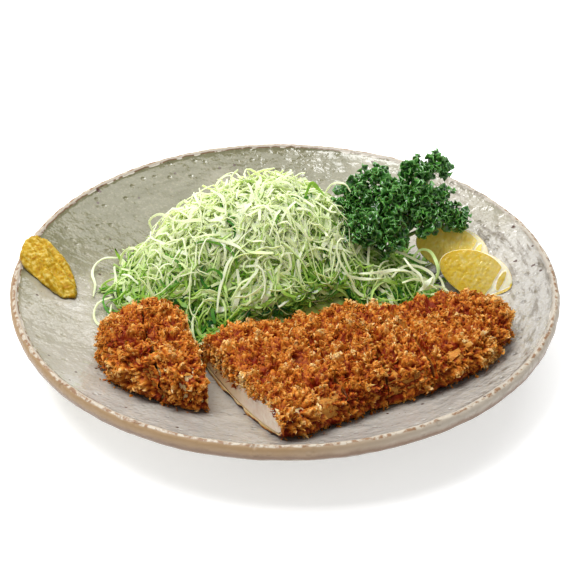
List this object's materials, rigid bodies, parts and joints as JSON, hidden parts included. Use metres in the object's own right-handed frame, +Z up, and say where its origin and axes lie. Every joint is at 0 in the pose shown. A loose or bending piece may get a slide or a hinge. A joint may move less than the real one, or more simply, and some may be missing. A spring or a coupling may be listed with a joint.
{
  "type": "pork cutlet dinner plate",
  "caption": "Breaded pork cutlet cut into slices on a hand-made stoneware plate, with shredded cabbage, curly parsley, lemon wedges and grainy mustard.",
  "frame": {"origin": "centre of the plate's foot ring, on the surface that the plate stands on", "axes": "+Z up, -Y toward the diner, +X to the diner's right; the parsley and the lemon are at +X, the mustard at -X"},
  "size_m": [0.25, 0.25, 0.0728],
  "materials": {
    "stoneware": "greige hand-brushed stoneware glaze with iron specks and a brown rim line",
    "breading": "craggy fried breadcrumbs, golden to orange-brown",
    "pork": "moist pale cooked meat",
    "cabbage": "crisp pale green shreds",
    "parsley": "dark green curly leaves with a soft sheen",
    "lemon": "wet yellow flesh, white pith and yellow rind",
    "mustard": "grainy golden yellow paste"
  },
  "bodies": {
    "root": {"plate": "stoneware", "coating_a1": "breading", "pork_a1": "pork", "coating_a2": "breading", "pork_a2": "pork", "coating_b1": "breading", "pork_b1": "pork", "coating_b2": "breading", "pork_b2": "pork", "coating_c1": "breading", "pork_c1": "pork", "coating_c2": "breading", "pork_c2": "pork", "coating_d": "breading", "pork_d": "pork", "cabbage": "cabbage", "parsley": "parsley", "lemon_front": "lemon", "lemon_back": "lemon", "mustard": "mustard"}
  },
  "joints": []
}
